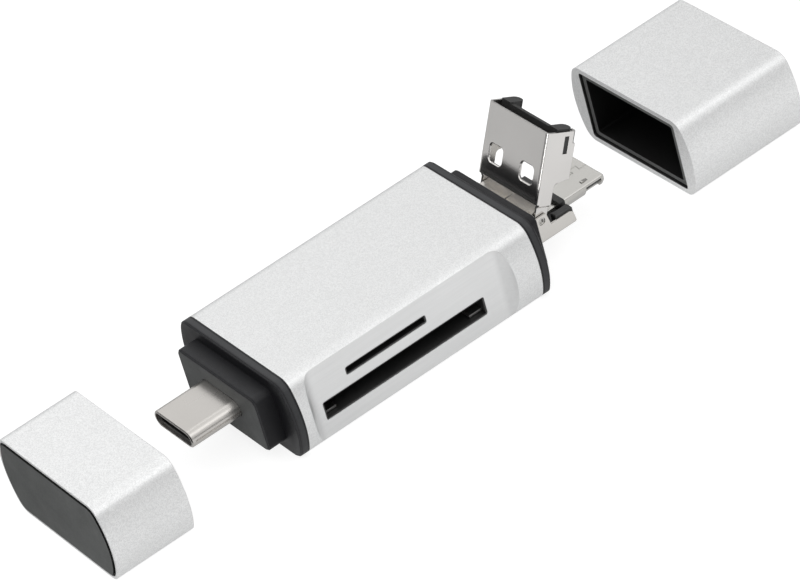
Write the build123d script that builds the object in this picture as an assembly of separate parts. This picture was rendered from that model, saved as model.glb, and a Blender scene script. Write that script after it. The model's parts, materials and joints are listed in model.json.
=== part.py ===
from build123d import *
import os

# Pocket card reader: +X runs from the USB-C end to the USB-A end, the card slots face -Y,
# and the origin is in the middle of the flat underside. Millimetres.

# Aluminium extrusion, cut to three lengths for the body sleeve and the two caps
body_length = 36.2
body_width = 23.8
body_height = 11.4
side_bulge = 1.5
corner_radius = 2.0
side_wall = 2.4
top_wall = 0.7
opening_radius = 0.5

# Milled pocket on the slot side
pocket_depth = 1.4
pocket_length = 27.0
pocket_x = -1.17
pocket_cutter_radius = 2.4

# Card slots: mouth sizes and places
sd_slot_width = 24.8
sd_slot_height = 2.7
sd_slot_x = -2.12
sd_slot_z = 4.2
microsd_slot_width = 12.3
microsd_slot_height = 1.2
microsd_slot_x = -4.17
microsd_slot_z = 7.65
slot_corner = 0.3

# Card sockets, whose noses line the slots
microsd_depth = 13.0
socket_back_gap = 1.0
socket_side_wall = 0.7
socket_back_wall = 0.8
nose_wall = 0.15
nose_recess = 0.1
sd_floor = 0.5
microsd_roof = 0.4
sd_contact_count = 9
sd_contact_pitch = 2.5
sd_contact_width = 1.2
sd_contact_length = 6.0
sd_contact_rise = 0.6
sd_contact_sheet = 0.15
microsd_contact_count = 8
microsd_contact_pitch = 1.1
microsd_contact_width = 0.6
microsd_contact_length = 4.0
microsd_contact_rise = 0.3
microsd_contact_sheet = 0.1
guide_reach = 1.9
guide_length = 3.0
guide_sheet = 0.3
guide_inset = 0.9
guide_rise = 0.1

# Plastic end frames
flange_thickness = 1.3
flange_edge = 0.2
boss_corner = 1.0
usb_c_boss_length = 2.6
usb_a_boss_length = 2.0
skirt_wall = 1.3
skirt_gap = 0.25

# Circuit board, and its parts placed from the side of the microSD socket
board_thickness = 0.8
board_side_gap = 0.6
board_inset = 1.1
board_over_slot = 0.35
chip_size = 5.0
chip_height = 0.9
chip_offset = 5.45
chip_y = 3.2
chip_leads_a_side = 6
chip_lead_pitch = 0.65
chip_lead_width = 0.3
chip_lead_reach = 0.7
crystal_length = 3.2
crystal_width = 2.5
crystal_height = 0.7
crystal_corner = 0.5
crystal_y = -2.6
chip_part_length = 1.0
chip_part_width = 0.5
chip_part_count = 5
capacitor_height = 0.5
capacitor_pitch = 1.6
capacitor_offset = 10.15
capacitor_y = -3.0
resistor_height = 0.35
resistor_pitch = 1.4
resistor_offset = 1.0
resistor_y = 0.2

# USB-C plug
usb_c_width = 8.25
usb_c_height = 2.4
usb_c_reach = 7.3
usb_c_z = 6.1
usb_c_wall = 0.3
usb_c_lip = 0.12
usb_c_groove_height = 0.22
usb_c_groove_depth = 0.12
usb_c_groove_start = 0.5
usb_c_core_recess = 0.35
usb_c_slot_width = 6.3
usb_c_slot_height = 0.85
usb_c_slot_depth = 5.5
usb_c_contact_pitch = 0.5
usb_c_contact_width = 0.26
usb_c_contact_inset = 0.8
usb_c_contacts_per_row = 12
contact_sheet = 0.1

# USB-A plug: sheet-metal bracket and flip shell share one section, reaches measured from the boss
usb_a_width = 12.0
usb_a_height = 4.5
usb_a_z = 5.6
usb_a_reach = 13.53
sheet = 0.3
bend_radius = 0.5
open_angle = 63.4
hinge_reach = 1.93
hinge_rise = 0.95

# Hinge bracket
bracket_root = 1.0
strip_past_hinge = 1.75
strip_half_width = 5.2
seam_gap = 0.24
ear_before_hinge = 0.8
ear_past_hinge = 0.85
ear_rise = 0.72
wall_reach = 6.83
wall_past_ear = 0.35
wall_height = 2.05
wall_lean = 0.3
wall_corner = 0.5
pin_radius = 0.5
pin_recess = 0.1
pin_dimple_radius = 0.33
pin_dimple_depth = 0.2

# Flip shell
face_length = 9.4
wide_wall_length = 6.3
arm_depth = 2.25
arm_step = 0.5
arm_step_radius = 0.6
arm_setback = 0.45
tab_radius = 0.9
joggle_from_hinge = 1.75
joggle_length = 0.35
window_width = 2.6
window_length = 2.4
window_y = 3.13
window_from_tip = 6.17
window_corner = 0.6
window_edge = 0.12
side_slot_length = 2.3
side_slot_height = 0.65
side_slot_from_tip = 1.75
side_slot_depth = 3.12
tip_lip_length = 1.6
tip_lip_width = 0.9

# Plastic insert in the tip of the flip shell
plate_depth = 1.75
insert_length = 4.8
insert_rise = 0.1
insert_ear_width = 1.7
insert_ear_rise = 0.25
insert_ear_radius = 0.8
contact_pad_width = 1.0
contact_pad_length = 2.8
contact_pad_inset = 1.4
contact_pad_thickness = 0.08
contact_pad_y = (-3.0, -1.0, 1.0, 3.0)

# Micro-USB plug
micro_width = 6.85
micro_lower_width = 5.4
micro_height = 1.8
micro_side = 0.75
micro_corner = 0.25
micro_wall = 0.25
micro_lip = 0.08
micro_root_reach = 3.43
micro_lift = 0.2
micro_nest_gap = 0.1
micro_latch_from_tip = 2.4
micro_latch_y = 2.4
micro_latch_length = 0.9
micro_latch_width = 0.45
micro_latch_rise = 0.12
micro_latch_gap = 0.03
micro_notch_from_tip = 1.65
micro_notch_length = 2.4
micro_notch_depth = 0.35
micro_notch_inset = 0.45
micro_seam_width = 0.07
micro_seam_depth = 0.07
micro_lock_from_tip = 1.2
micro_lock_length = 1.0
micro_lock_width = 0.85
micro_lock_flare = 0.15
micro_core_recess = 0.3
micro_slot_width = 5.0
micro_slot_height = 0.65
micro_slot_depth = 5.0
micro_contact_count = 5
micro_contact_pitch = 0.65
micro_contact_width = 0.35
micro_contact_inset = 1.0

# Plastic base of the USB-A end
base_reach = 6.85
base_floor_height = 1.55
base_bridge_length = 0.9
base_bridge_height = 2.6
base_rail_height = 2.4
base_rail_width = 1.05
base_rail_setback = 0.12
base_bridge_leg = 0.65
base_edge = 0.25

# Pull-off caps, with how far the open end of each lies off the plug
usb_c_cap_length = 11.2
usb_c_cap_away = 6.17
usb_a_cap_length = 17.5
usb_a_cap_away = 7.7
end_plate_thickness = 0.8
end_plate_rim = 0.35
end_plate_proud = 0.15
liner_side_wall = 0.7
liner_top_wall = 0.6
liner_recess = 0.3
liner_corner = 0.3

# Fits
seat_gap = 0.05
running_gap = 0.1
pin_gap = 0.04
cap_gap = 0.15
liner_gap = 0.25

# Places worked out from the sizes above
mid_z = body_height / 2
half_length = body_length / 2
opening_width = body_width - 2 * side_wall
opening_height = body_height - 2 * top_wall
boss_width = opening_width - 2 * (liner_gap + liner_side_wall + cap_gap)
boss_height = opening_height - 2 * (liner_gap + liner_top_wall + cap_gap)
board_width = opening_width - 2 * board_side_gap
slot_face_y = -(body_width / 2 - pocket_depth)
flange_x = half_length + flange_thickness
usb_a_face_x = flange_x + usb_a_boss_length
usb_a_top = usb_a_z + usb_a_height / 2
usb_a_bottom = usb_a_z - usb_a_height / 2
usb_a_tip_x = usb_a_face_x + usb_a_reach
usb_a_half = usb_a_width / 2
usb_c_tip_x = -(flange_x + usb_c_boss_length + usb_c_reach)
usb_c_root_x = -(half_length - board_inset)
hinge_x = usb_a_face_x + hinge_reach
hinge_z = usb_a_z + hinge_rise
hinge_axis = Axis((hinge_x, 0, hinge_z), (0, 1, 0))
bracket_root_x = half_length - bracket_root
strip_end_x = hinge_x + strip_past_hinge
wall_end_x = usb_a_face_x + wall_reach
base_front_x = usb_a_face_x + base_reach
micro_root_x = usb_a_face_x + micro_root_reach
micro_bottom = usb_a_bottom + micro_lift
micro_top = micro_bottom + micro_height
micro_tip_x = usb_a_tip_x
joggle_x = hinge_x + joggle_from_hinge
insert_front_x = usb_a_tip_x + insert_rise
insert_rear_x = insert_front_x - insert_length
nose_lining = seat_gap + nose_wall
sd_depth = opening_width - running_gap - socket_back_wall - socket_back_gap
sd_floor_z = sd_slot_z - sd_slot_height / 2 + nose_lining
microsd_floor_z = microsd_slot_z - microsd_slot_height / 2 + nose_lining
sd_socket_reach = abs(sd_slot_x) + sd_slot_width / 2 + socket_side_wall
skirt_length = half_length - sd_socket_reach - skirt_gap
socket_front_y = -(opening_width / 2 - running_gap)
board_z = sd_slot_z + sd_slot_height / 2 + board_over_slot
board_top_z = board_z + board_thickness
parts_x = microsd_slot_x + microsd_slot_width / 2 + socket_side_wall
usb_c_cap_open_x = usb_c_tip_x - usb_c_cap_away
usb_a_cap_open_x = usb_a_tip_x + usb_a_cap_away


def body_outline(inset=0.0):
    """Flat top and bottom, sides bulging in one arc, rounded corners."""
    half_width = body_width / 2 - inset
    half_height = mid_z - inset
    corner = half_width - side_bulge
    right = ThreePointArc((corner, -half_height), (half_width, 0), (corner, half_height))
    left = ThreePointArc((-corner, half_height), (-half_width, 0), (-corner, -half_height))
    face = make_face([right, Line(right @ 1, left @ 0), left, Line(left @ 1, right @ 0)])
    return fillet(face.vertices(), corner_radius - inset)


def opening_outline(clearance=0.0):
    """The extrusion's rectangular hole, or what fits it with a clearance."""
    return RectangleRounded(opening_width - 2 * clearance, opening_height - 2 * clearance, opening_radius)


def along_x(sketch, x_from, x_to, z=mid_z):
    """A bar of one section, drawn across the width and height and centred at height z."""
    plane = Plane(origin=(x_from, 0, z), x_dir=(0, 1, 0), z_dir=(1, 0, 0))
    return extrude(plane * sketch, amount=x_to - x_from)


def along_y(sketch, y_from, y_to, x=0.0, z=0.0):
    """A prism drawn in length and height, running in +Y."""
    plane = Plane(origin=(x, y_from, z), x_dir=(1, 0, 0), z_dir=(0, -1, 0))
    return extrude(plane * sketch, amount=y_from - y_to)


def along_z(sketch, z_from, z_to):
    """A prism drawn in plan, running up."""
    return extrude(Pos(0, 0, z_from) * sketch, amount=z_to - z_from)


def block(x_from, x_to, y_from, y_to, z_from, z_to):
    """A box given by its faces."""
    middle = Pos((x_from + x_to) / 2, (y_from + y_to) / 2, (z_from + z_to) / 2)
    return middle * Box(abs(x_to - x_from), abs(y_to - y_from), abs(z_to - z_from))


def both_sides(solid):
    """A solid and its mirror image across the part's length."""
    return solid + mirror(solid, about=Plane.XZ)


def node_group(solids):
    """Like pieces that share one node, kept as separate solids."""
    return Compound(children=list(solids))


def end_face_edges(solid, axis_end):
    """The edges round the face at one end of a solid along X."""
    return solid.faces().sort_by(Axis.X)[axis_end].edges()


# Aluminium body sleeve
def card_mouth(width, height, x, z):
    """The hole in the sleeve's wall that a card goes through."""
    outline = RectangleRounded(width, height, slot_corner)
    return along_y(outline, slot_face_y - pocket_depth, 0, x, z)


def body_sleeve():
    tube = along_x(body_outline() - opening_outline(), -half_length, half_length)
    cutter = Pos(pocket_x, slot_face_y - pocket_cutter_radius) * SlotCenterToCenter(
        pocket_length, 2 * pocket_cutter_radius)
    tube -= along_z(cutter, 0, body_height)
    tube -= card_mouth(sd_slot_width, sd_slot_height, sd_slot_x, sd_slot_z)
    tube -= card_mouth(microsd_slot_width, microsd_slot_height, microsd_slot_x, microsd_slot_z)
    return tube


# Plastic end frames
def end_frame(boss_length):
    """Flange, boss and skirt of a frame at the +X end, before its plug passage is cut."""
    flange = along_x(body_outline(), half_length, flange_x)
    flange = chamfer(end_face_edges(flange, -1), flange_edge)
    boss = along_x(RectangleRounded(boss_width, boss_height, boss_corner), flange_x, flange_x + boss_length)
    boss = chamfer(end_face_edges(boss, -1), flange_edge)
    inner = Rectangle(opening_width - 2 * skirt_wall, opening_height - 2 * skirt_wall)
    skirt = along_x(opening_outline(seat_gap) - inner, half_length - skirt_length, half_length)
    board_groove = block(0, half_length - board_inset + seat_gap, -board_width / 2 - seat_gap,
                         board_width / 2 + seat_gap, board_z - seat_gap, board_top_z + seat_gap)
    return flange + boss + (skirt - board_groove)


def usb_c_frame():
    frame = mirror(end_frame(usb_c_boss_length), about=Plane.YZ)
    passage = SlotOverall(usb_c_width + 2 * seat_gap, usb_c_height + 2 * seat_gap)
    return frame - along_x(passage, usb_c_tip_x, -half_length, usb_c_z)


def usb_a_frame():
    passage = RectangleRounded(usb_a_width + 2 * seat_gap, usb_a_height + 2 * seat_gap, bend_radius)
    return end_frame(usb_a_boss_length) - along_x(passage, half_length, usb_a_tip_x, usb_a_z)


# Circuit board and what is soldered to it
def main_board():
    half = half_length - board_inset
    return block(-half, half, -board_width / 2, board_width / 2, board_z, board_top_z)


def controller_chip():
    """Flat chip with gull-wing leads on all four sides."""
    centre = Pos(parts_x + chip_offset, chip_y, board_top_z)
    chip = Pos(0, 0, chip_height / 2) * Box(chip_size, chip_size, chip_height)
    lead_x = (chip_size + chip_lead_reach) / 2
    for index in range(chip_leads_a_side):
        offset = (index - (chip_leads_a_side - 1) / 2) * chip_lead_pitch
        lead = Pos(lead_x, offset, chip_height / 4) * Box(chip_lead_reach, chip_lead_width, chip_height / 2)
        for turn in range(4):
            chip += Rot(0, 0, 90 * turn) * lead
    return centre * chip


def crystal():
    can = extrude(RectangleRounded(crystal_length, crystal_width, crystal_corner), amount=crystal_height)
    return Pos(parts_x + chip_offset, crystal_y, board_top_z) * can


def chip_row(height, x, y, pitch):
    """A row of small chip parts on the board."""
    part = Box(chip_part_length, chip_part_width, height)
    return node_group(Pos(x, y + pitch * index, board_top_z + height / 2) * part
                      for index in range(chip_part_count))


def capacitors():
    return chip_row(capacitor_height, parts_x + capacitor_offset, capacitor_y, capacitor_pitch)


def resistors():
    return chip_row(resistor_height, parts_x + resistor_offset, resistor_y, resistor_pitch)


# Card sockets
def card_socket(width, height, x, z, depth, z_from, z_to):
    """A plastic frame round a card, with a nose that lines the slot in the sleeve."""
    half = width / 2
    back_y = socket_front_y + depth
    nose_y = slot_face_y + nose_recess
    socket = block(x - half - socket_side_wall, x + half + socket_side_wall, socket_front_y,
                   back_y + socket_back_wall, z_from, z_to)
    nose = RectangleRounded(width - 2 * seat_gap, height - 2 * seat_gap, slot_corner)
    card = Rectangle(width - 2 * nose_lining, height - 2 * nose_lining)
    return socket + along_y(nose, nose_y, socket_front_y, x, z) - along_y(card, nose_y, back_y, x, z)


def sd_socket():
    return card_socket(sd_slot_width, sd_slot_height, sd_slot_x, sd_slot_z, sd_depth,
                       sd_floor_z - sd_floor, board_z)


def microsd_socket():
    return card_socket(microsd_slot_width, microsd_slot_height, microsd_slot_x, microsd_slot_z,
                       microsd_depth, board_top_z, microsd_slot_z + microsd_slot_height / 2 + microsd_roof)


def spring_contacts(count, pitch, width, thickness, x, back_y, floor_z, length, rise):
    """A row of bent contact springs that stand on a socket's floor at its back wall."""
    crest = back_y - 0.75 * length
    foot_z = floor_z + thickness / 2
    line = Polyline((back_y, foot_z), (back_y - 0.3 * length, foot_z), (crest, foot_z + rise),
                    (back_y - length, foot_z + 0.4 * rise))
    section = trace(line, line_width=thickness)
    left = x - (count - 1) * pitch / 2 - width / 2
    return node_group(along_x(section, left + pitch * index, left + pitch * index + width, 0)
                      for index in range(count))


def sd_contacts():
    return spring_contacts(sd_contact_count, sd_contact_pitch, sd_contact_width, sd_contact_sheet, sd_slot_x,
                           socket_front_y + sd_depth, sd_floor_z, sd_contact_length, sd_contact_rise)


def microsd_contacts():
    return spring_contacts(microsd_contact_count, microsd_contact_pitch, microsd_contact_width,
                           microsd_contact_sheet, microsd_slot_x, socket_front_y + microsd_depth,
                           microsd_floor_z, microsd_contact_length, microsd_contact_rise)


def sd_guide_springs():
    """Two small metal guides, one on each side wall just inside the SD slot."""
    inside = slot_face_y + guide_inset
    half = sd_slot_width / 2 - nose_lining
    springs = []
    for side in (-1, 1):
        wall_x = sd_slot_x + side * half
        springs.append(block(wall_x, wall_x - side * guide_reach, inside, inside + guide_length,
                             sd_floor_z + guide_rise, sd_floor_z + guide_rise + guide_sheet))
    return node_group(springs)


# USB-C plug
def usb_c_section(inset):
    return SlotOverall(usb_c_width - 2 * inset, usb_c_height - 2 * inset)


def usb_c_shell():
    """Drawn stadium tube with a rounded lip and a fine groove along each side."""
    tube = along_x(usb_c_section(0), usb_c_tip_x, usb_c_root_x, usb_c_z)
    tube = chamfer(end_face_edges(tube, 0), usb_c_lip)
    tube -= along_x(usb_c_section(usb_c_wall), usb_c_tip_x, usb_c_root_x, usb_c_z)
    side = usb_c_width / 2
    groove = block(usb_c_tip_x + usb_c_groove_start, usb_c_root_x, side - usb_c_groove_depth,
                   side + usb_c_groove_depth, usb_c_z - usb_c_groove_height / 2,
                   usb_c_z + usb_c_groove_height / 2)
    return tube - both_sides(groove)


def usb_c_insert():
    """Plastic core of the plug, with the mating slot."""
    core = along_x(usb_c_section(usb_c_wall + seat_gap), usb_c_tip_x + usb_c_core_recess,
                   usb_c_root_x, usb_c_z)
    slot = Rectangle(usb_c_slot_width, usb_c_slot_height)
    return core - along_x(slot, usb_c_tip_x, usb_c_tip_x + usb_c_slot_depth, usb_c_z)


def usb_c_contacts():
    """Two rows of blades on the roof and floor of the mating slot."""
    first = -(usb_c_contacts_per_row - 1) * usb_c_contact_pitch / 2
    blades = []
    for side in (-1, 1):
        face_z = usb_c_z + side * usb_c_slot_height / 2
        for index in range(usb_c_contacts_per_row):
            y = first + index * usb_c_contact_pitch
            blades.append(block(usb_c_tip_x + usb_c_contact_inset, usb_c_tip_x + usb_c_slot_depth,
                                y - usb_c_contact_width / 2, y + usb_c_contact_width / 2,
                                face_z - side * contact_sheet, face_z))
    return node_group(blades)


# Folded hinge bracket
def sheet_tube(x_from, x_to):
    """Rectangular tube folded from sheet, of the plug's outer section."""
    outer = RectangleRounded(usb_a_width, usb_a_height, bend_radius)
    inner = RectangleRounded(usb_a_width - 2 * sheet, usb_a_height - 2 * sheet, bend_radius - sheet)
    return along_x(outer - inner, x_from, x_to, usb_a_z)


def bracket_side_waste():
    """What is cut from each side wall to leave full height at the root, an ear, then a low wall."""
    ear_top_z = hinge_z + ear_rise
    ear_start_x = hinge_x - ear_before_hinge
    ear_end_x = hinge_x + ear_past_hinge
    wall_top_z = usb_a_bottom + wall_height
    outline = Polyline(
        (bracket_root_x, usb_a_bottom), (wall_end_x, usb_a_bottom), (wall_end_x - wall_lean, wall_top_z),
        (ear_end_x + wall_past_ear, wall_top_z), (ear_end_x, ear_top_z), (ear_start_x, ear_top_z),
        (ear_start_x, usb_a_top), (bracket_root_x, usb_a_top), close=True)
    kept = make_face(outline)
    kept = fillet(kept.vertices().sort_by(Axis.X)[-2:], wall_corner)
    return side_view_rectangle(bracket_root_x, wall_end_x) - kept


def side_view_rectangle(x_from, x_to):
    """The plug's whole height over a stretch of its length, seen from the side."""
    return Pos((x_from + x_to) / 2, usb_a_z) * Rectangle(x_to - x_from, usb_a_height)


def hinge_bracket():
    """Tube with a centre seam, a short top strip, two ears and low side walls."""
    side_y = strip_half_width
    bracket = sheet_tube(bracket_root_x, wall_end_x)
    bracket -= both_sides(along_y(bracket_side_waste(), side_y, usb_a_half))
    bracket -= block(strip_end_x, wall_end_x, -side_y, side_y, usb_a_z, usb_a_top)
    bracket -= block(wall_end_x - wall_lean, wall_end_x, -side_y, side_y, usb_a_bottom, usb_a_z)
    bracket -= block(bracket_root_x, strip_end_x, -seam_gap / 2, seam_gap / 2, usb_a_z, usb_a_top)
    plug_gap = micro_width / 2 + running_gap
    bracket -= block(micro_root_x - running_gap, wall_end_x, -plug_gap, plug_gap, usb_a_bottom, usb_a_z)
    holes = along_y(Circle(pin_radius + pin_gap / 2), -usb_a_half, usb_a_half, hinge_x, hinge_z)
    return bracket - holes


def hinge_pins():
    """Two short pins, one through each ear into the tab of the flip shell."""
    tab_inner_y = usb_a_half - 2 * sheet - running_gap
    pin_end_y = usb_a_half - pin_recess
    pin = along_y(Circle(pin_radius), tab_inner_y, pin_end_y, hinge_x, hinge_z)
    dimple = along_y(Circle(pin_dimple_radius), pin_end_y - pin_dimple_depth, usb_a_half, hinge_x, hinge_z)
    pin -= dimple
    return node_group([pin, mirror(pin, about=Plane.XZ)])


# Plastic base in the bracket
def plug_base():
    """Floor block, two side rails and a bridge that the micro plug passes under."""
    half = usb_a_half - sheet - seat_gap
    bottom = usb_a_bottom + sheet + seat_gap
    rail_end = base_front_x - base_rail_setback
    rail_start = joggle_x + joggle_length + running_gap
    base = block(bracket_root_x, rail_end, -half, half, bottom, usb_a_bottom + base_floor_height)
    rail = block(rail_start, rail_end, half - base_rail_width, half, bottom, usb_a_bottom + base_rail_height)
    rail = fillet(rail.faces().sort_by(Axis.Z)[-1].edges(), base_edge)
    base += both_sides(rail)
    bridge_half = micro_width / 2 + seat_gap + base_bridge_leg
    bridge = block(base_front_x - base_bridge_length, base_front_x, -bridge_half, bridge_half, bottom,
                   usb_a_bottom + base_bridge_height)
    bridge = fillet(bridge.edges().filter_by(Axis.X), base_edge)
    base += bridge
    passage = micro_width / 2 + seat_gap
    return base - block(micro_root_x - seat_gap, base_front_x, -passage, passage, usb_a_bottom,
                        micro_top + seat_gap)


# Micro-USB plug
def micro_section(inset=0.0):
    """Wide flat top, short upright sides, then a taper to the narrower underside."""
    half_top = micro_width / 2 - inset
    half_low = micro_lower_width / 2 - inset
    top = micro_height / 2 - inset
    side = micro_height / 2 - micro_side
    outline = Polyline((-half_low, -top), (half_low, -top), (half_top, side), (half_top, top),
                       (-half_top, top), (-half_top, side), close=True)
    face = make_face(outline)
    return fillet(face.vertices(), max(micro_corner - inset, 0.04))


def micro_bar(inset, x_from, x_to):
    return along_x(micro_section(inset), x_from, x_to, micro_bottom + micro_height / 2)


def micro_seam_outline():
    """Seam of the folded shell along its top, locked by one dovetail."""
    lock_far = micro_tip_x - micro_lock_from_tip
    lock_near = lock_far - micro_lock_length
    line = Polyline((micro_tip_x, 0), (lock_far, 0), (lock_far + micro_lock_flare, micro_lock_width),
                    (lock_near - micro_lock_flare, micro_lock_width), (lock_near, 0), (micro_root_x, 0))
    return trace(line, line_width=micro_seam_width)


def latch_window():
    """Hole in the shell's top that a hook stands through."""
    middle = micro_tip_x - micro_latch_from_tip
    half_x = micro_latch_length / 2 + micro_latch_gap
    half_y = micro_latch_width / 2 + micro_latch_gap
    return block(middle - half_x, middle + half_x, micro_latch_y - half_y, micro_latch_y + half_y,
                 micro_top - micro_wall, micro_top)


def micro_usb_shell():
    shell = micro_bar(0, micro_root_x, micro_tip_x)
    shell = chamfer(end_face_edges(shell, -1), micro_lip)
    shell -= micro_bar(micro_wall, micro_root_x, micro_tip_x)
    shell -= along_z(micro_seam_outline(), micro_top - micro_seam_depth, micro_top)
    notch_x = micro_tip_x - micro_notch_from_tip
    notch = block(notch_x - micro_notch_length / 2, notch_x + micro_notch_length / 2,
                  micro_lower_width / 2 - micro_notch_inset, micro_width / 2,
                  micro_bottom, micro_top - micro_notch_depth)
    return shell - both_sides(notch) - both_sides(latch_window())


def micro_latch():
    """A hook with a sloped nose, standing out of the plug's top."""
    foot_z = micro_top - micro_wall - seat_gap
    crest_z = micro_top + micro_latch_rise
    rear = micro_tip_x - micro_latch_from_tip - micro_latch_length / 2
    front = rear + micro_latch_length
    crest_end = rear + micro_latch_length / 4
    outline = Polyline((rear, foot_z), (front, foot_z), (front, micro_top), (crest_end, crest_z),
                       (rear, crest_z), close=True)
    half = micro_latch_width / 2
    return along_y(make_face(outline), micro_latch_y - half, micro_latch_y + half)


def micro_usb_latches():
    hook = micro_latch()
    return node_group([hook, mirror(hook, about=Plane.XZ)])


def micro_usb_insert():
    """Plastic core of the micro plug, with its mating slot."""
    core = micro_bar(micro_wall + seat_gap, micro_root_x, micro_tip_x - micro_core_recess)
    slot = Rectangle(micro_slot_width, micro_slot_height)
    slot_bar = along_x(slot, micro_tip_x - micro_slot_depth, micro_tip_x, micro_bottom + micro_height / 2)
    return core - slot_bar


def micro_usb_contacts():
    floor_z = micro_bottom + micro_height / 2 - micro_slot_height / 2
    first = -(micro_contact_count - 1) * micro_contact_pitch / 2
    blades = []
    for index in range(micro_contact_count):
        y = first + index * micro_contact_pitch
        blades.append(block(micro_tip_x - micro_slot_depth, micro_tip_x - micro_contact_inset,
                            y - micro_contact_width / 2, y + micro_contact_width / 2, floor_z,
                            floor_z + contact_sheet))
    return node_group(blades)


# Flip shell, drawn closed and then turned up to its resting angle
def flipped_up(solid):
    return solid.rotate(hinge_axis, -open_angle)


def shell_side_waste():
    """What is cut from the flip shell's sides to leave a deep tip and a slim arm with a round end."""
    tip = usb_a_tip_x
    step = tip - wide_wall_length
    arm_bottom = usb_a_top - arm_depth
    arm_top = usb_a_top - arm_setback
    face_end = tip - face_length
    outline = Polyline((tip, usb_a_bottom), (step, usb_a_bottom), (step - arm_step, arm_bottom),
                       (hinge_x, arm_bottom), (hinge_x, arm_top), (face_end, arm_top), (face_end, usb_a_top),
                       (tip, usb_a_top), close=True)
    face = make_face(outline)
    inner_corner = face.vertices().sort_by_distance((step - arm_step, arm_bottom, 0))[0]
    kept = fillet(inner_corner, arm_step_radius) + Pos(hinge_x, hinge_z) * Circle(tab_radius)
    return side_view_rectangle(hinge_x - tab_radius, tip) - kept


def shell_arm_plan():
    """Plan of one arm: flush with the shell's side, then joggled in to pass inside the ear."""
    side_y = usb_a_half - sheet / 2
    tab_y = side_y - sheet - running_gap
    line = Polyline((usb_a_tip_x - face_length, side_y), (joggle_x + joggle_length, side_y),
                    (joggle_x, tab_y), (hinge_x - tab_radius, tab_y))
    return trace(line, line_width=sheet)


def tip_lip():
    """Back edge of one side wall, folded in behind the insert's ear at the tip."""
    lip_x = usb_a_tip_x - tip_lip_length
    corner = block(lip_x, usb_a_tip_x, usb_a_half - tip_lip_width, usb_a_half, usb_a_bottom,
                   usb_a_bottom + bend_radius)
    return sheet_tube(lip_x, usb_a_tip_x) & corner


def usb_a_shell():
    """Folded channel: broad face with two latch windows, two stepped sides, two joggled arms."""
    face_x = usb_a_tip_x - face_length
    outer = RectangleRounded(usb_a_width, 2 * usb_a_height, bend_radius)
    inner = RectangleRounded(usb_a_width - 2 * sheet, 2 * usb_a_height - 2 * sheet, bend_radius - sheet)
    channel = along_x(outer - inner, face_x, usb_a_tip_x, usb_a_bottom)
    channel -= block(face_x, usb_a_tip_x, -usb_a_half, usb_a_half, usb_a_bottom - usb_a_height, usb_a_bottom)
    arms = both_sides(along_z(shell_arm_plan(), usb_a_bottom, usb_a_top))
    shell = channel + arms - along_y(shell_side_waste(), -usb_a_half, usb_a_half)
    lip_x = usb_a_tip_x - tip_lip_length
    shell -= both_sides(block(lip_x, usb_a_tip_x, usb_a_half - sheet, usb_a_half, usb_a_bottom,
                              usb_a_bottom + bend_radius))
    shell += both_sides(tip_lip())
    window_plan = Pos(usb_a_tip_x - window_from_tip, window_y) * RectangleRounded(
        window_length, window_width, window_corner)
    shell -= both_sides(along_z(window_plan, usb_a_z, usb_a_top))
    broad_face = shell.faces().sort_by(Axis.Z)[-1]
    rims = [edge for wire in broad_face.inner_wires() for edge in wire.edges()]
    shell = chamfer(rims, window_edge)
    shell -= along_y(side_slot_outline(0), -usb_a_half, usb_a_half)
    shell -= along_y(Circle(pin_radius + pin_gap), -usb_a_half, usb_a_half, hinge_x, hinge_z)
    return flipped_up(shell)


def side_slot_outline(inset):
    centre = Pos(usb_a_tip_x - side_slot_from_tip, usb_a_top - side_slot_depth)
    return centre * Rectangle(side_slot_length - 2 * inset, side_slot_height - 2 * inset)


def usb_a_tip_insert():
    """Plate across the tip with a thick rounded ear at each side, snapped into the side slots."""
    half = usb_a_half - sheet - seat_gap
    plate_top = usb_a_top - plate_depth
    plate_bottom = micro_top + micro_latch_rise + micro_nest_gap
    plate = block(insert_rear_x, insert_front_x, -half, half, plate_bottom, plate_top)
    ear = block(insert_rear_x, usb_a_tip_x + insert_ear_rise, half - insert_ear_width, half,
                usb_a_bottom + sheet + seat_gap, plate_top)
    ear = fillet(ear.edges().filter_by(Axis.X).group_by(Axis.Z)[0], insert_ear_radius)
    insert = plate + both_sides(ear)
    nub = along_y(side_slot_outline(seat_gap), half - sheet, usb_a_half - seat_gap)
    return flipped_up(insert + both_sides(nub))


def usb_a_contacts():
    """Four flat contacts on the side of the plate that faces the socket's tongue."""
    plate_top = usb_a_top - plate_depth
    front = insert_front_x - contact_pad_inset
    pads = []
    for y in contact_pad_y:
        pad = block(front - contact_pad_length, front, y - contact_pad_width / 2, y + contact_pad_width / 2,
                    plate_top, plate_top + contact_pad_thickness)
        pads.append(flipped_up(pad))
    return node_group(pads)


# Pull-off caps
def cap_sleeve(open_x, closed_x):
    """A length of the extrusion, let in at its closed end for the liner's end plate."""
    inward = 1 if open_x > closed_x else -1
    tube = along_x(body_outline() - opening_outline(), min(open_x, closed_x), max(open_x, closed_x))
    plate_x = closed_x + inward * end_plate_thickness
    return tube - along_x(body_outline(end_plate_rim), min(closed_x, plate_x), max(closed_x, plate_x))


def cap_liner(open_x, closed_x):
    """Plastic cup: an end plate of the cap's outline and a rectangular cup that grips the boss."""
    inward = 1 if open_x > closed_x else -1
    face_x = closed_x - inward * end_plate_proud
    plate_x = closed_x + inward * (end_plate_thickness - seat_gap)
    rim_x = open_x - inward * liner_recess
    plate = along_x(body_outline(end_plate_rim + liner_gap), min(face_x, plate_x), max(face_x, plate_x))
    hole = RectangleRounded(boss_width + 2 * cap_gap, boss_height + 2 * cap_gap, liner_corner)
    cup = along_x(opening_outline(liner_gap) - hole, min(plate_x, rim_x), max(plate_x, rim_x))
    return plate + cup


def usb_c_cap_sleeve():
    return cap_sleeve(usb_c_cap_open_x, usb_c_cap_open_x - usb_c_cap_length)


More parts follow.
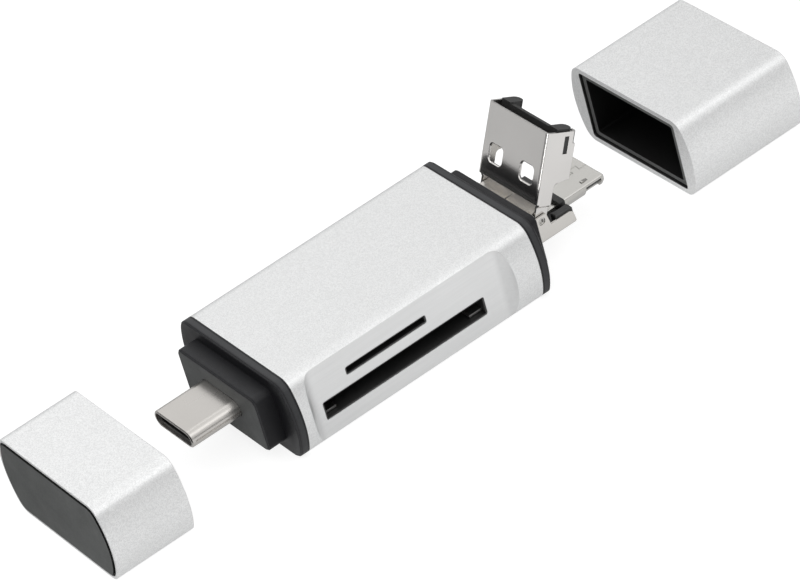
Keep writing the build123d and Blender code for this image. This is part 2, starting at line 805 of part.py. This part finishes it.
def usb_c_cap_liner():
    return cap_liner(usb_c_cap_open_x, usb_c_cap_open_x - usb_c_cap_length)


def usb_a_cap_sleeve():
    return cap_sleeve(usb_a_cap_open_x, usb_a_cap_open_x + usb_a_cap_length)


def usb_a_cap_liner():
    return cap_liner(usb_a_cap_open_x, usb_a_cap_open_x + usb_a_cap_length)


NODES = (
    body_sleeve, usb_c_frame, usb_a_frame, main_board, controller_chip, crystal, capacitors, resistors,
    sd_socket, sd_contacts, sd_guide_springs, microsd_socket, microsd_contacts,
    usb_c_shell, usb_c_insert, usb_c_contacts,
    hinge_bracket, hinge_pins, plug_base,
    micro_usb_shell, micro_usb_latches, micro_usb_insert, micro_usb_contacts,
    usb_a_shell, usb_a_tip_insert, usb_a_contacts,
    usb_c_cap_sleeve, usb_c_cap_liner, usb_a_cap_sleeve, usb_a_cap_liner,
)

os.makedirs("parts", exist_ok=True)
for make_node in NODES:
    export_step(make_node(), f"parts/{make_node.__name__}.step")
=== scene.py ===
import json
import bpy
from mathutils import Matrix, Vector

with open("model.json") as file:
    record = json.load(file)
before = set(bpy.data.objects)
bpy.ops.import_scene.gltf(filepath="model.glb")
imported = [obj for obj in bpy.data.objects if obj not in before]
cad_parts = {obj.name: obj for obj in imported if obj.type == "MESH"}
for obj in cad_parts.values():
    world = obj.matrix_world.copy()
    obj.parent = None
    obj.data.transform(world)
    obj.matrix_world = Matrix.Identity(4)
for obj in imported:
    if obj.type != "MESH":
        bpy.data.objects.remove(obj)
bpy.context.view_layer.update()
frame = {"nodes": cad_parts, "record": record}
nodes = frame["nodes"]

MM = 0.001
scene = bpy.context.scene
scene.view_settings.view_transform = "Standard"


def grey(value):
    return (value, value, value)


# Camera, fitted to the part's corners in the photograph: metres, and a lens for an 800 x 584 frame
CAMERA_PLACE = (-0.210078, -0.422886, 0.354278)
CAMERA_RIGHT = (0.7778, -0.58518, -0.22934)
CAMERA_FORWARD = (0.36491, 0.71754, -0.59327)
SENSOR_MM = 36.0
LENS_MM = 217.39


def make_camera():
    data = bpy.data.cameras.new("camera")
    data.sensor_width = SENSOR_MM
    data.lens = LENS_MM
    data.clip_start = 0.01
    data.clip_end = 20.0
    camera = bpy.data.objects.new("camera", data)
    right = Vector(CAMERA_RIGHT).normalized()
    forward = Vector(CAMERA_FORWARD)
    forward = (forward - right * forward.dot(right)).normalized()
    up = right.cross(forward)
    turn = Matrix((right, up, -forward)).transposed().to_4x4()
    camera.matrix_world = Matrix.Translation(CAMERA_PLACE) @ turn
    scene.collection.objects.link(camera)
    scene.camera = camera


# Node helpers
class Shader:
    """One procedural material: a principled shader and the few texture nodes that feed it."""

    def __init__(self, name, roughness, metallic=0.0, specular=0.5):
        self.material = bpy.data.materials.new(name)
        self.material.use_nodes = True
        self.tree = self.material.node_tree
        self.shader = self.tree.nodes["Principled BSDF"]
        self.shader.inputs["Roughness"].default_value = roughness
        self.shader.inputs["Metallic"].default_value = metallic
        self.shader.inputs["Specular IOR Level"].default_value = specular
        self.places = self.node("ShaderNodeTexCoord")
        self.place = self.places.outputs["Object"]

    def node(self, kind, **values):
        made = self.tree.nodes.new(kind)
        for key, value in values.items():
            setattr(made, key, value)
        return made

    def link(self, source, target):
        self.tree.links.new(source, target)

    def math(self, operation, first, second=None, third=None):
        """One step of arithmetic; each operand is a socket or a plain number."""
        made = self.node("ShaderNodeMath", operation=operation)
        for index, operand in enumerate((first, second, third)):
            if isinstance(operand, (int, float)):
                made.inputs[index].default_value = operand
            elif operand is not None:
                self.link(operand, made.inputs[index])
        return made.outputs[0]

    def axes(self, source):
        split = self.node("ShaderNodeSeparateXYZ")
        self.link(source, split.inputs[0])
        return split.outputs

    def facing(self, axis):
        """How far a face looks along an axis of the frame, either way: 0 to 1."""
        return self.math("ABSOLUTE", self.axes(self.places.outputs["Normal"])[axis])

    def noise(self, scale, detail=2.0, stretch=None):
        """Noise with features about 1/scale metres across, drawn out along the axes that stretch shrinks."""
        texture = self.node("ShaderNodeTexNoise")
        texture.inputs["Scale"].default_value = scale
        texture.inputs["Detail"].default_value = detail
        place = self.place
        if stretch:
            mapping = self.node("ShaderNodeMapping")
            mapping.inputs["Scale"].default_value = stretch
            self.link(place, mapping.inputs["Vector"])
            place = mapping.outputs["Vector"]
        self.link(place, texture.inputs["Vector"])
        return texture.outputs["Fac"]

    def speckle(self, scale):
        """Small cells, each of one random value: the facets of a blasted surface."""
        texture = self.node("ShaderNodeTexVoronoi")
        texture.inputs["Scale"].default_value = scale
        self.link(self.place, texture.inputs["Vector"])
        grey = self.node("ShaderNodeRGBToBW")
        self.link(texture.outputs["Color"], grey.inputs[0])
        return grey.outputs[0]

    def span(self, factor, low, high, start=0.3, end=0.7):
        """A value that runs from low to high while the factor runs from start to end."""
        ramp = self.node("ShaderNodeMapRange")
        for key, value in (("From Min", start), ("From Max", end), ("To Min", low), ("To Max", high)):
            ramp.inputs[key].default_value = value
        self.link(factor, ramp.inputs["Value"])
        return ramp.outputs["Result"]

    def blend(self, factor, low, high, start=0.3, end=0.7):
        """A colour that runs from low to high while the factor runs from start to end."""
        ramp = self.node("ShaderNodeValToRGB")
        for element, place, colour in zip(ramp.color_ramp.elements, (start, end), (low, high)):
            element.position = place
            element.color = (*colour, 1.0)
        self.link(factor, ramp.inputs["Fac"])
        return ramp.outputs["Color"]

    def mix(self, factor, first, second):
        """The first colour where the factor is 0, the second where it is 1."""
        made = self.node("ShaderNodeMix", data_type="RGBA")
        self.link(factor, made.inputs["Factor"])
        self.link(first, made.inputs[6])
        self.link(second, made.inputs[7])
        return made.outputs[2]

    def colour(self, source):
        self.link(source, self.shader.inputs["Base Color"])

    def roughness(self, source):
        self.link(source, self.shader.inputs["Roughness"])

    def occlusion(self, reach_mm, inside=False):
        """1 on open faces, towards 0 in the piece's own hollows, or along its edges if inside."""
        made = self.node("ShaderNodeAmbientOcclusion", samples=8, only_local=True, inside=inside)
        made.inputs["Distance"].default_value = reach_mm * MM
        return made.outputs["AO"]

    def surface(self, height=None, depth_mm=0.0, edge_mm=0.0):
        """Fine relief, and edges broken by a small radius."""
        normal = None
        if edge_mm:
            edge = self.node("ShaderNodeBevel", samples=6)
            edge.inputs["Radius"].default_value = edge_mm * MM
            normal = edge.outputs["Normal"]
        if height is not None:
            bump = self.node("ShaderNodeBump")
            bump.inputs["Distance"].default_value = depth_mm * MM
            self.link(height, bump.inputs["Height"])
            if normal is not None:
                self.link(normal, bump.inputs["Normal"])
            normal = bump.outputs["Normal"]
        self.link(normal, self.shader.inputs["Normal"])


# Scales of the textures, in features to the metre
FACETS = 9000
CUTTER_MARKS = 3000
EROSION = 4200
SHEEN = 350
ANODISING = 160
ROLLING_MARKS = 160
PLATING = 120

# Where the milled faces of the sleeves lie, in millimetres
POCKET_X = -1.17
POCKET_HALF = 13.5
CUTTER_Y = -12.9
CUTTER_RADIUS = 2.4
OPENING_HALF = 9.5
OPENING_LOW = 0.7
OPENING_HIGH = 10.7
MASK_EDGE = 0.05


def pocket_mask(made):
    """1 on the milled pocket, 0 elsewhere: the distance to the cutter's path tells them apart."""
    x, y, _ = made.axes(made.place)
    along = made.math("ABSOLUTE", made.math("SUBTRACT", x, POCKET_X * MM))
    along = made.math("MAXIMUM", made.math("SUBTRACT", along, POCKET_HALF * MM), 0.0)
    across = made.math("SUBTRACT", y, CUTTER_Y * MM)
    distance = made.math("SQRT", made.math("ADD", made.math("MULTIPLY", along, along),
                                           made.math("MULTIPLY", across, across)))
    return made.math("COMPARE", distance, CUTTER_RADIUS * MM, MASK_EDGE * MM)


def bore_mask(made):
    """1 on the walls of the sleeve's opening, 0 elsewhere: where the colour is painted dark as shade."""
    _, y, z = made.axes(made.place)
    inside = made.math("LESS_THAN", made.math("ABSOLUTE", y), (OPENING_HALF + MASK_EDGE) * MM)
    middle = (OPENING_LOW + OPENING_HIGH) / 2
    reach = (OPENING_HIGH - OPENING_LOW) / 2 + MASK_EDGE
    level = made.math("ABSOLUTE", made.math("SUBTRACT", z, middle * MM))
    level = made.math("LESS_THAN", level, reach * MM)
    upright = made.math("LESS_THAN", made.facing(0), 0.5)
    return made.math("MULTIPLY", upright, made.math("MULTIPLY", inside, level))


def blasted_aluminium(name, tone, grain_low, grain_high, milled=False):
    """Bead-blasted, anodised aluminium: facets from low to high times its tone, smoother where milled, with
    painted shade on the milled pocket's end walls and on the walls of the opening.
    """
    made = Shader(name, 0.45, metallic=0.85)
    grain = made.speckle(FACETS)

    def toned(factor):
        return tuple(factor * channel for channel in tone)

    skin = made.blend(grain, toned(grain_low), toned(grain_high), 0.2, 0.8)
    rough = made.span(made.noise(ANODISING), 0.42, 0.48)
    relief = grain
    if milled:
        mask = pocket_mask(made)
        across = made.facing(1)
        cut = made.noise(CUTTER_MARKS, 3.0, (0.05, 1, 1))
        floor = made.blend(cut, toned(0.92), toned(0.96))
        # Painted shade: the pocket's end walls take a darker tone than its floor because of the way they
        # face.
        painted_end_tone = made.blend(cut, toned(0.80), toned(0.84))
        skin = made.mix(mask, skin, made.mix(made.span(across, 0.0, 1.0, 0.9, 0.99), painted_end_tone, floor))
        rough = made.math("SUBTRACT", rough, made.math("MULTIPLY", mask, 0.08))
        relief = made.math("MULTIPLY", grain, made.math("SUBTRACT", 1.0, mask))
    shaded_bore = bore_mask(made)
    # Painted shade: the walls of the opening are coloured near black.
    skin = made.mix(shaded_bore, skin, made.blend(made.noise(CUTTER_MARKS), grey(0.10), grey(0.14)))
    made.colour(skin)
    made.roughness(made.math("SUBTRACT", rough, made.math("MULTIPLY", shaded_bore, 0.15)))
    made.surface(relief, 0.007, edge_mm=0.12)
    return made.material


def moulded_plastic(name, low, high, rough_low, rough_high, texture_mm=0.003, hollows=False):
    """Moulded plastic: fine eroded texture, slow changes of sheen, and painted shade that darkens its
    hollows if asked.
    """
    made = Shader(name, rough_low)
    grain = made.noise(EROSION, 3.0)
    skin = made.blend(grain, low, high)
    if hollows:
        # Painted shade: ambient occlusion turns the colour towards near black in the piece's hollows.
        shade = made.span(made.occlusion(3.0), 0.0, 1.0, 0.50, 0.95)
        skin = made.mix(shade, made.blend(grain, grey(0.006), grey(0.009)), skin)
    made.colour(skin)
    made.roughness(made.span(made.noise(SHEEN), rough_low, rough_high))
    made.surface(grain, texture_mm, edge_mm=0.08)
    return made.material


# Round the plugs' holes the frames' edges carry no painted edge shade, in millimetres
PLUG_HOLE_HALF = 6.6
PLUG_HOLE_RISE = 2.8
PLUG_Z = 5.9

# The frames' painted shade on their edges and in their inner corners: how far occlusion reaches, in
# millimetres, and where it starts and stops
EDGE_SHADE_REACH = 0.35
EDGE_SHADE_SPAN = (0.90, 0.985)
CORNER_SHADE_REACH = 6.0
CORNER_SHADE_SPAN = (0.88, 0.99)
CORNER_SHADE_POWER = 1.5


def frame_plastic(name):
    """End frames: eroded faces with painted light and shade by facing, painted shade darkening into their
    inner corners, and a fine dark line of painted shade on each edge.
    """
    made = Shader(name, 0.5, specular=0.35)
    grain = made.noise(EROSION, 3.0)
    # Painted light and shade by facing: faces that look along the length get the lighter tone, all others
    # the darker one.
    painted_end_tone = made.blend(grain, (0.075, 0.079, 0.079), (0.090, 0.095, 0.095))
    painted_side_tone = made.blend(grain, (0.038, 0.039, 0.042), (0.046, 0.047, 0.050))
    # Near-black colour of the painted shade in the corners and on the edges.
    dark = made.blend(grain, (0.004, 0.004, 0.006), (0.006, 0.006, 0.008))
    facing_tone = made.mix(made.span(made.facing(0), 0.0, 1.0, 0.75, 0.95), painted_side_tone, painted_end_tone)
    _, y, z = made.axes(made.place)
    beside = made.math("GREATER_THAN", made.math("ABSOLUTE", y), PLUG_HOLE_HALF * MM)
    above = made.math("ABSOLUTE", made.math("SUBTRACT", z, PLUG_Z * MM))
    above = made.math("GREATER_THAN", above, PLUG_HOLE_RISE * MM)
    at_plug = made.math("SUBTRACT", 1.0, made.math("MAXIMUM", beside, above))
    # Painted shade: a dark line along each edge, found by occlusion inside the piece.
    edges = made.span(made.occlusion(EDGE_SHADE_REACH, inside=True), 0.0, 1.0, *EDGE_SHADE_SPAN)
    line = made.math("MAXIMUM", at_plug, edges)
    # Painted shade: occlusion darkens the inner corners.
    shade = made.span(made.occlusion(CORNER_SHADE_REACH), 0.0, 1.0, *CORNER_SHADE_SPAN)
    shade = made.math("POWER", shade, CORNER_SHADE_POWER)
    made.colour(made.mix(made.math("MULTIPLY", shade, line), dark, facing_tone))
    made.roughness(made.span(made.noise(SHEEN), 0.45, 0.55))
    made.surface(grain, 0.002)
    return made.material


# The liners' end plates lie beyond these, and their rims between these, in millimetres
PLATES_X = (-45.95, 59.38)
RIMS_X = (-35.8, 42.96)


def liner_plastic(name):
    """Cap liners: grey end plate, lighter rim, and near-black painted shade inside the cup and on the edges.
    """
    made = Shader(name, 0.55, specular=0.3)
    grain = made.noise(EROSION, 3.0)
    plate = made.blend(grain, (0.085, 0.090, 0.088), (0.105, 0.110, 0.108))
    # Painted shade: near-black colour for the inside of the cup and for the edges.
    inside = made.blend(grain, grey(0.003), grey(0.005))
    x = made.axes(made.place)[0]
    beyond = made.math("MAXIMUM", made.math("LESS_THAN", x, PLATES_X[0] * MM),
                       made.math("GREATER_THAN", x, PLATES_X[1] * MM))
    rims = made.math("MULTIPLY", made.math("GREATER_THAN", x, RIMS_X[0] * MM),
                     made.math("LESS_THAN", x, RIMS_X[1] * MM))
    facing = made.math("GREATER_THAN", made.facing(0), 0.7)
    # Plate and rim faces that look along the length keep their tone; every other face gets the painted
    # shade.
    unshaded_faces = made.math("MULTIPLY", made.math("MAXIMUM", beyond, rims), facing)
    rim = made.blend(grain, (0.130, 0.135, 0.133), (0.150, 0.155, 0.153))
    made.colour(made.mix(unshaded_faces, inside, made.mix(rims, plate, rim)))
    made.roughness(made.span(made.noise(SHEEN), 0.5, 0.6))
    made.surface(grain, 0.003)
    return made.material


def plated_steel(name, low, high, rough_low, rough_high, stretch):
    """Nickel-plated sheet with faint rolling marks along one axis."""
    made = Shader(name, rough_low, metallic=1.0)
    marks = made.noise(ROLLING_MARKS, 1.0, stretch)
    made.colour(made.blend(made.noise(PLATING), low, high))
    made.roughness(made.span(marks, rough_low, rough_high))
    made.surface(edge_mm=0.06)
    return made.material


def gold_plate(name):
    """Contacts: gold with a faint change of tone and sheen."""
    made = Shader(name, 0.25, metallic=1.0)
    made.colour(made.blend(made.noise(900), (0.80, 0.58, 0.20), (0.92, 0.72, 0.32)))
    made.roughness(made.span(made.noise(3000), 0.2, 0.35))
    return made.material


# One material for each slot of the record
MATERIALS = {
    "body_aluminium": blasted_aluminium("body_aluminium", (0.83, 0.835, 0.835), 0.91, 1.05, milled=True),
    "cap_aluminium": blasted_aluminium("cap_aluminium", (0.86, 0.865, 0.865), 0.89, 1.07),
    "frame_plastic": frame_plastic("frame_plastic"),
    "liner_plastic": liner_plastic("liner_plastic"),
    # The black plastic gets painted shade in its hollows.
    "black_plastic": moulded_plastic("black_plastic", grey(0.040), grey(0.055), 0.4, 0.55, hollows=True),
    "insert_plastic": moulded_plastic("insert_plastic", grey(0.018), grey(0.028), 0.4, 0.5),
    "usb_c_steel": plated_steel("usb_c_steel", (0.56, 0.54, 0.515), (0.59, 0.57, 0.545),
                                0.26, 0.28, (1, 1, 1)),
    "bracket_steel": plated_steel("bracket_steel", (0.66, 0.64, 0.61), (0.70, 0.68, 0.65),
                                  0.23, 0.27, (1, 0.2, 1)),
    "flip_steel": plated_steel("flip_steel", (0.66, 0.645, 0.63), (0.70, 0.685, 0.67),
                               0.17, 0.20, (1, 0.05, 1)),
    "micro_steel": plated_steel("micro_steel", (0.56, 0.55, 0.525), (0.60, 0.59, 0.565),
                                0.24, 0.28, (0.3, 1, 1)),
    "pin_steel": plated_steel("pin_steel", (0.55, 0.54, 0.52), (0.62, 0.61, 0.59), 0.25, 0.35, (1, 1, 1)),
    "spring_steel": plated_steel("spring_steel", (0.40, 0.40, 0.39), (0.48, 0.48, 0.47),
                                 0.3, 0.4, (1, 1, 1)),
    "gold": gold_plate("gold"),
    "board": moulded_plastic("board", (0.010, 0.07, 0.025), (0.016, 0.10, 0.04), 0.3, 0.4, 0.002),
    "chip": moulded_plastic("chip", (0.012, 0.012, 0.013), (0.02, 0.02, 0.022), 0.5, 0.6),
    "crystal_can": plated_steel("crystal_can", (0.60, 0.60, 0.58), (0.68, 0.68, 0.66),
                                0.25, 0.35, (0.1, 1, 1)),
    "ceramic": moulded_plastic("ceramic", (0.34, 0.24, 0.15), (0.42, 0.31, 0.20), 0.4, 0.5),
    "resistor_film": moulded_plastic("resistor_film", (0.015, 0.015, 0.018), (0.025, 0.025, 0.03),
                                     0.35, 0.45),
}

for part in frame["record"]["subparts"]:
    mesh = nodes[part["node"]].data
    mesh.materials.clear()
    mesh.materials.append(MATERIALS[part["material_slot"]])


# Floor, world and lamps: a strength of 1 is white
FLOOR_REACH = 4.0
FLOOR_DROP_MM = 0.05
FLOOR_TONE = 0.30
FLOOR_GLOW_SEEN = 0.85
FLOOR_GLOW_FRONT = 0.70
FLOOR_GLOW_BACK = 0.25
FLOOR_GLOW_FAR = 0.66
GLOW_TURNS_Y = (-0.02, 0.015)
GLOW_FAR_FROM = (0.08, 0.30)
WORLD_FILL = 0.32
WORLD_SEEN = 1.0


def floor_glow(made):
    """White to the eye; to metal a white card in front, a dim table behind and a pale room beyond."""
    sight = made.node("ShaderNodeLightPath").outputs
    x, y, _ = made.axes(made.place)
    near = made.span(y, FLOOR_GLOW_FRONT, FLOOR_GLOW_BACK, *GLOW_TURNS_Y)
    away = made.math("SQRT", made.math("ADD", made.math("MULTIPLY", x, x), made.math("MULTIPLY", y, y)))
    beyond = made.span(away, 0.0, 1.0, *GLOW_FAR_FROM)
    mirrored = made.math("ADD", made.math("MULTIPLY", beyond, FLOOR_GLOW_FAR),
                         made.math("MULTIPLY", made.math("SUBTRACT", 1.0, beyond), near))
    return made.math("ADD", made.math("MULTIPLY", sight["Is Camera Ray"], FLOOR_GLOW_SEEN),
                     made.math("MULTIPLY", sight["Is Glossy Ray"], mirrored))


def make_floor():
    """Pale floor that keeps the object's shadow."""
    mesh = bpy.data.meshes.new("floor")
    corners = [(FLOOR_REACH * x, FLOOR_REACH * y, 0) for x, y in ((-1, -1), (1, -1), (1, 1), (-1, 1))]
    mesh.from_pydata(corners, [], [(0, 1, 2, 3)])
    floor = bpy.data.objects.new("floor", mesh)
    floor.location.z = -FLOOR_DROP_MM * MM
    scene.collection.objects.link(floor)
    made = Shader("floor", 1.0, specular=0.0)
    made.shader.inputs["Base Color"].default_value = (*grey(FLOOR_TONE), 1.0)
    made.shader.inputs["Emission Color"].default_value = (1.0, 1.0, 1.0, 1.0)
    made.link(floor_glow(made), made.shader.inputs["Emission Strength"])
    mesh.materials.append(made.material)


def make_world():
    """Even fill light, and white where the camera looks past the floor."""
    world = bpy.data.worlds.new("studio")
    world.use_nodes = True
    scene.world = world
    tree = world.node_tree
    background = tree.nodes["Background"]
    background.inputs["Color"].default_value = (1.0, 1.0, 1.0, 1.0)
    strength = tree.nodes.new("ShaderNodeMapRange")
    strength.inputs["To Min"].default_value = WORLD_FILL
    strength.inputs["To Max"].default_value = WORLD_SEEN
    path = tree.nodes.new("ShaderNodeLightPath")
    tree.links.new(path.outputs["Is Camera Ray"], strength.inputs["Value"])
    tree.links.new(strength.outputs["Result"], background.inputs["Strength"])


# Lamps: place and size in metres, power in watts
LAMPS = {
    "back_panel": ((0.02, 0.50, 0.42), (0.8, 0.7), 1.2),
    "top": ((-0.08, -0.10, 0.60), (1.2, 1.2), 3.5),
    "front": ((0.22, -0.42, 0.38), (0.8, 0.6), 0.8),
    "edge_strip": ((-0.53, -0.24, 0.11), (0.06, 0.20), 0.28),
}


def soft_box(name, place, size, power):
    """A rectangular lamp that looks at the object."""
    data = bpy.data.lights.new(name, "AREA")
    data.shape = "RECTANGLE"
    data.size, data.size_y = size
    data.energy = power
    lamp = bpy.data.objects.new(name, data)
    lamp.location = place
    lamp.rotation_mode = "QUATERNION"
    lamp.rotation_quaternion = (-Vector(place)).to_track_quat("-Z", "Y")
    scene.collection.objects.link(lamp)


make_camera()
make_floor()
make_world()
for lamp_name, (lamp_place, lamp_size, lamp_power) in LAMPS.items():
    soft_box(lamp_name, lamp_place, lamp_size, lamp_power)
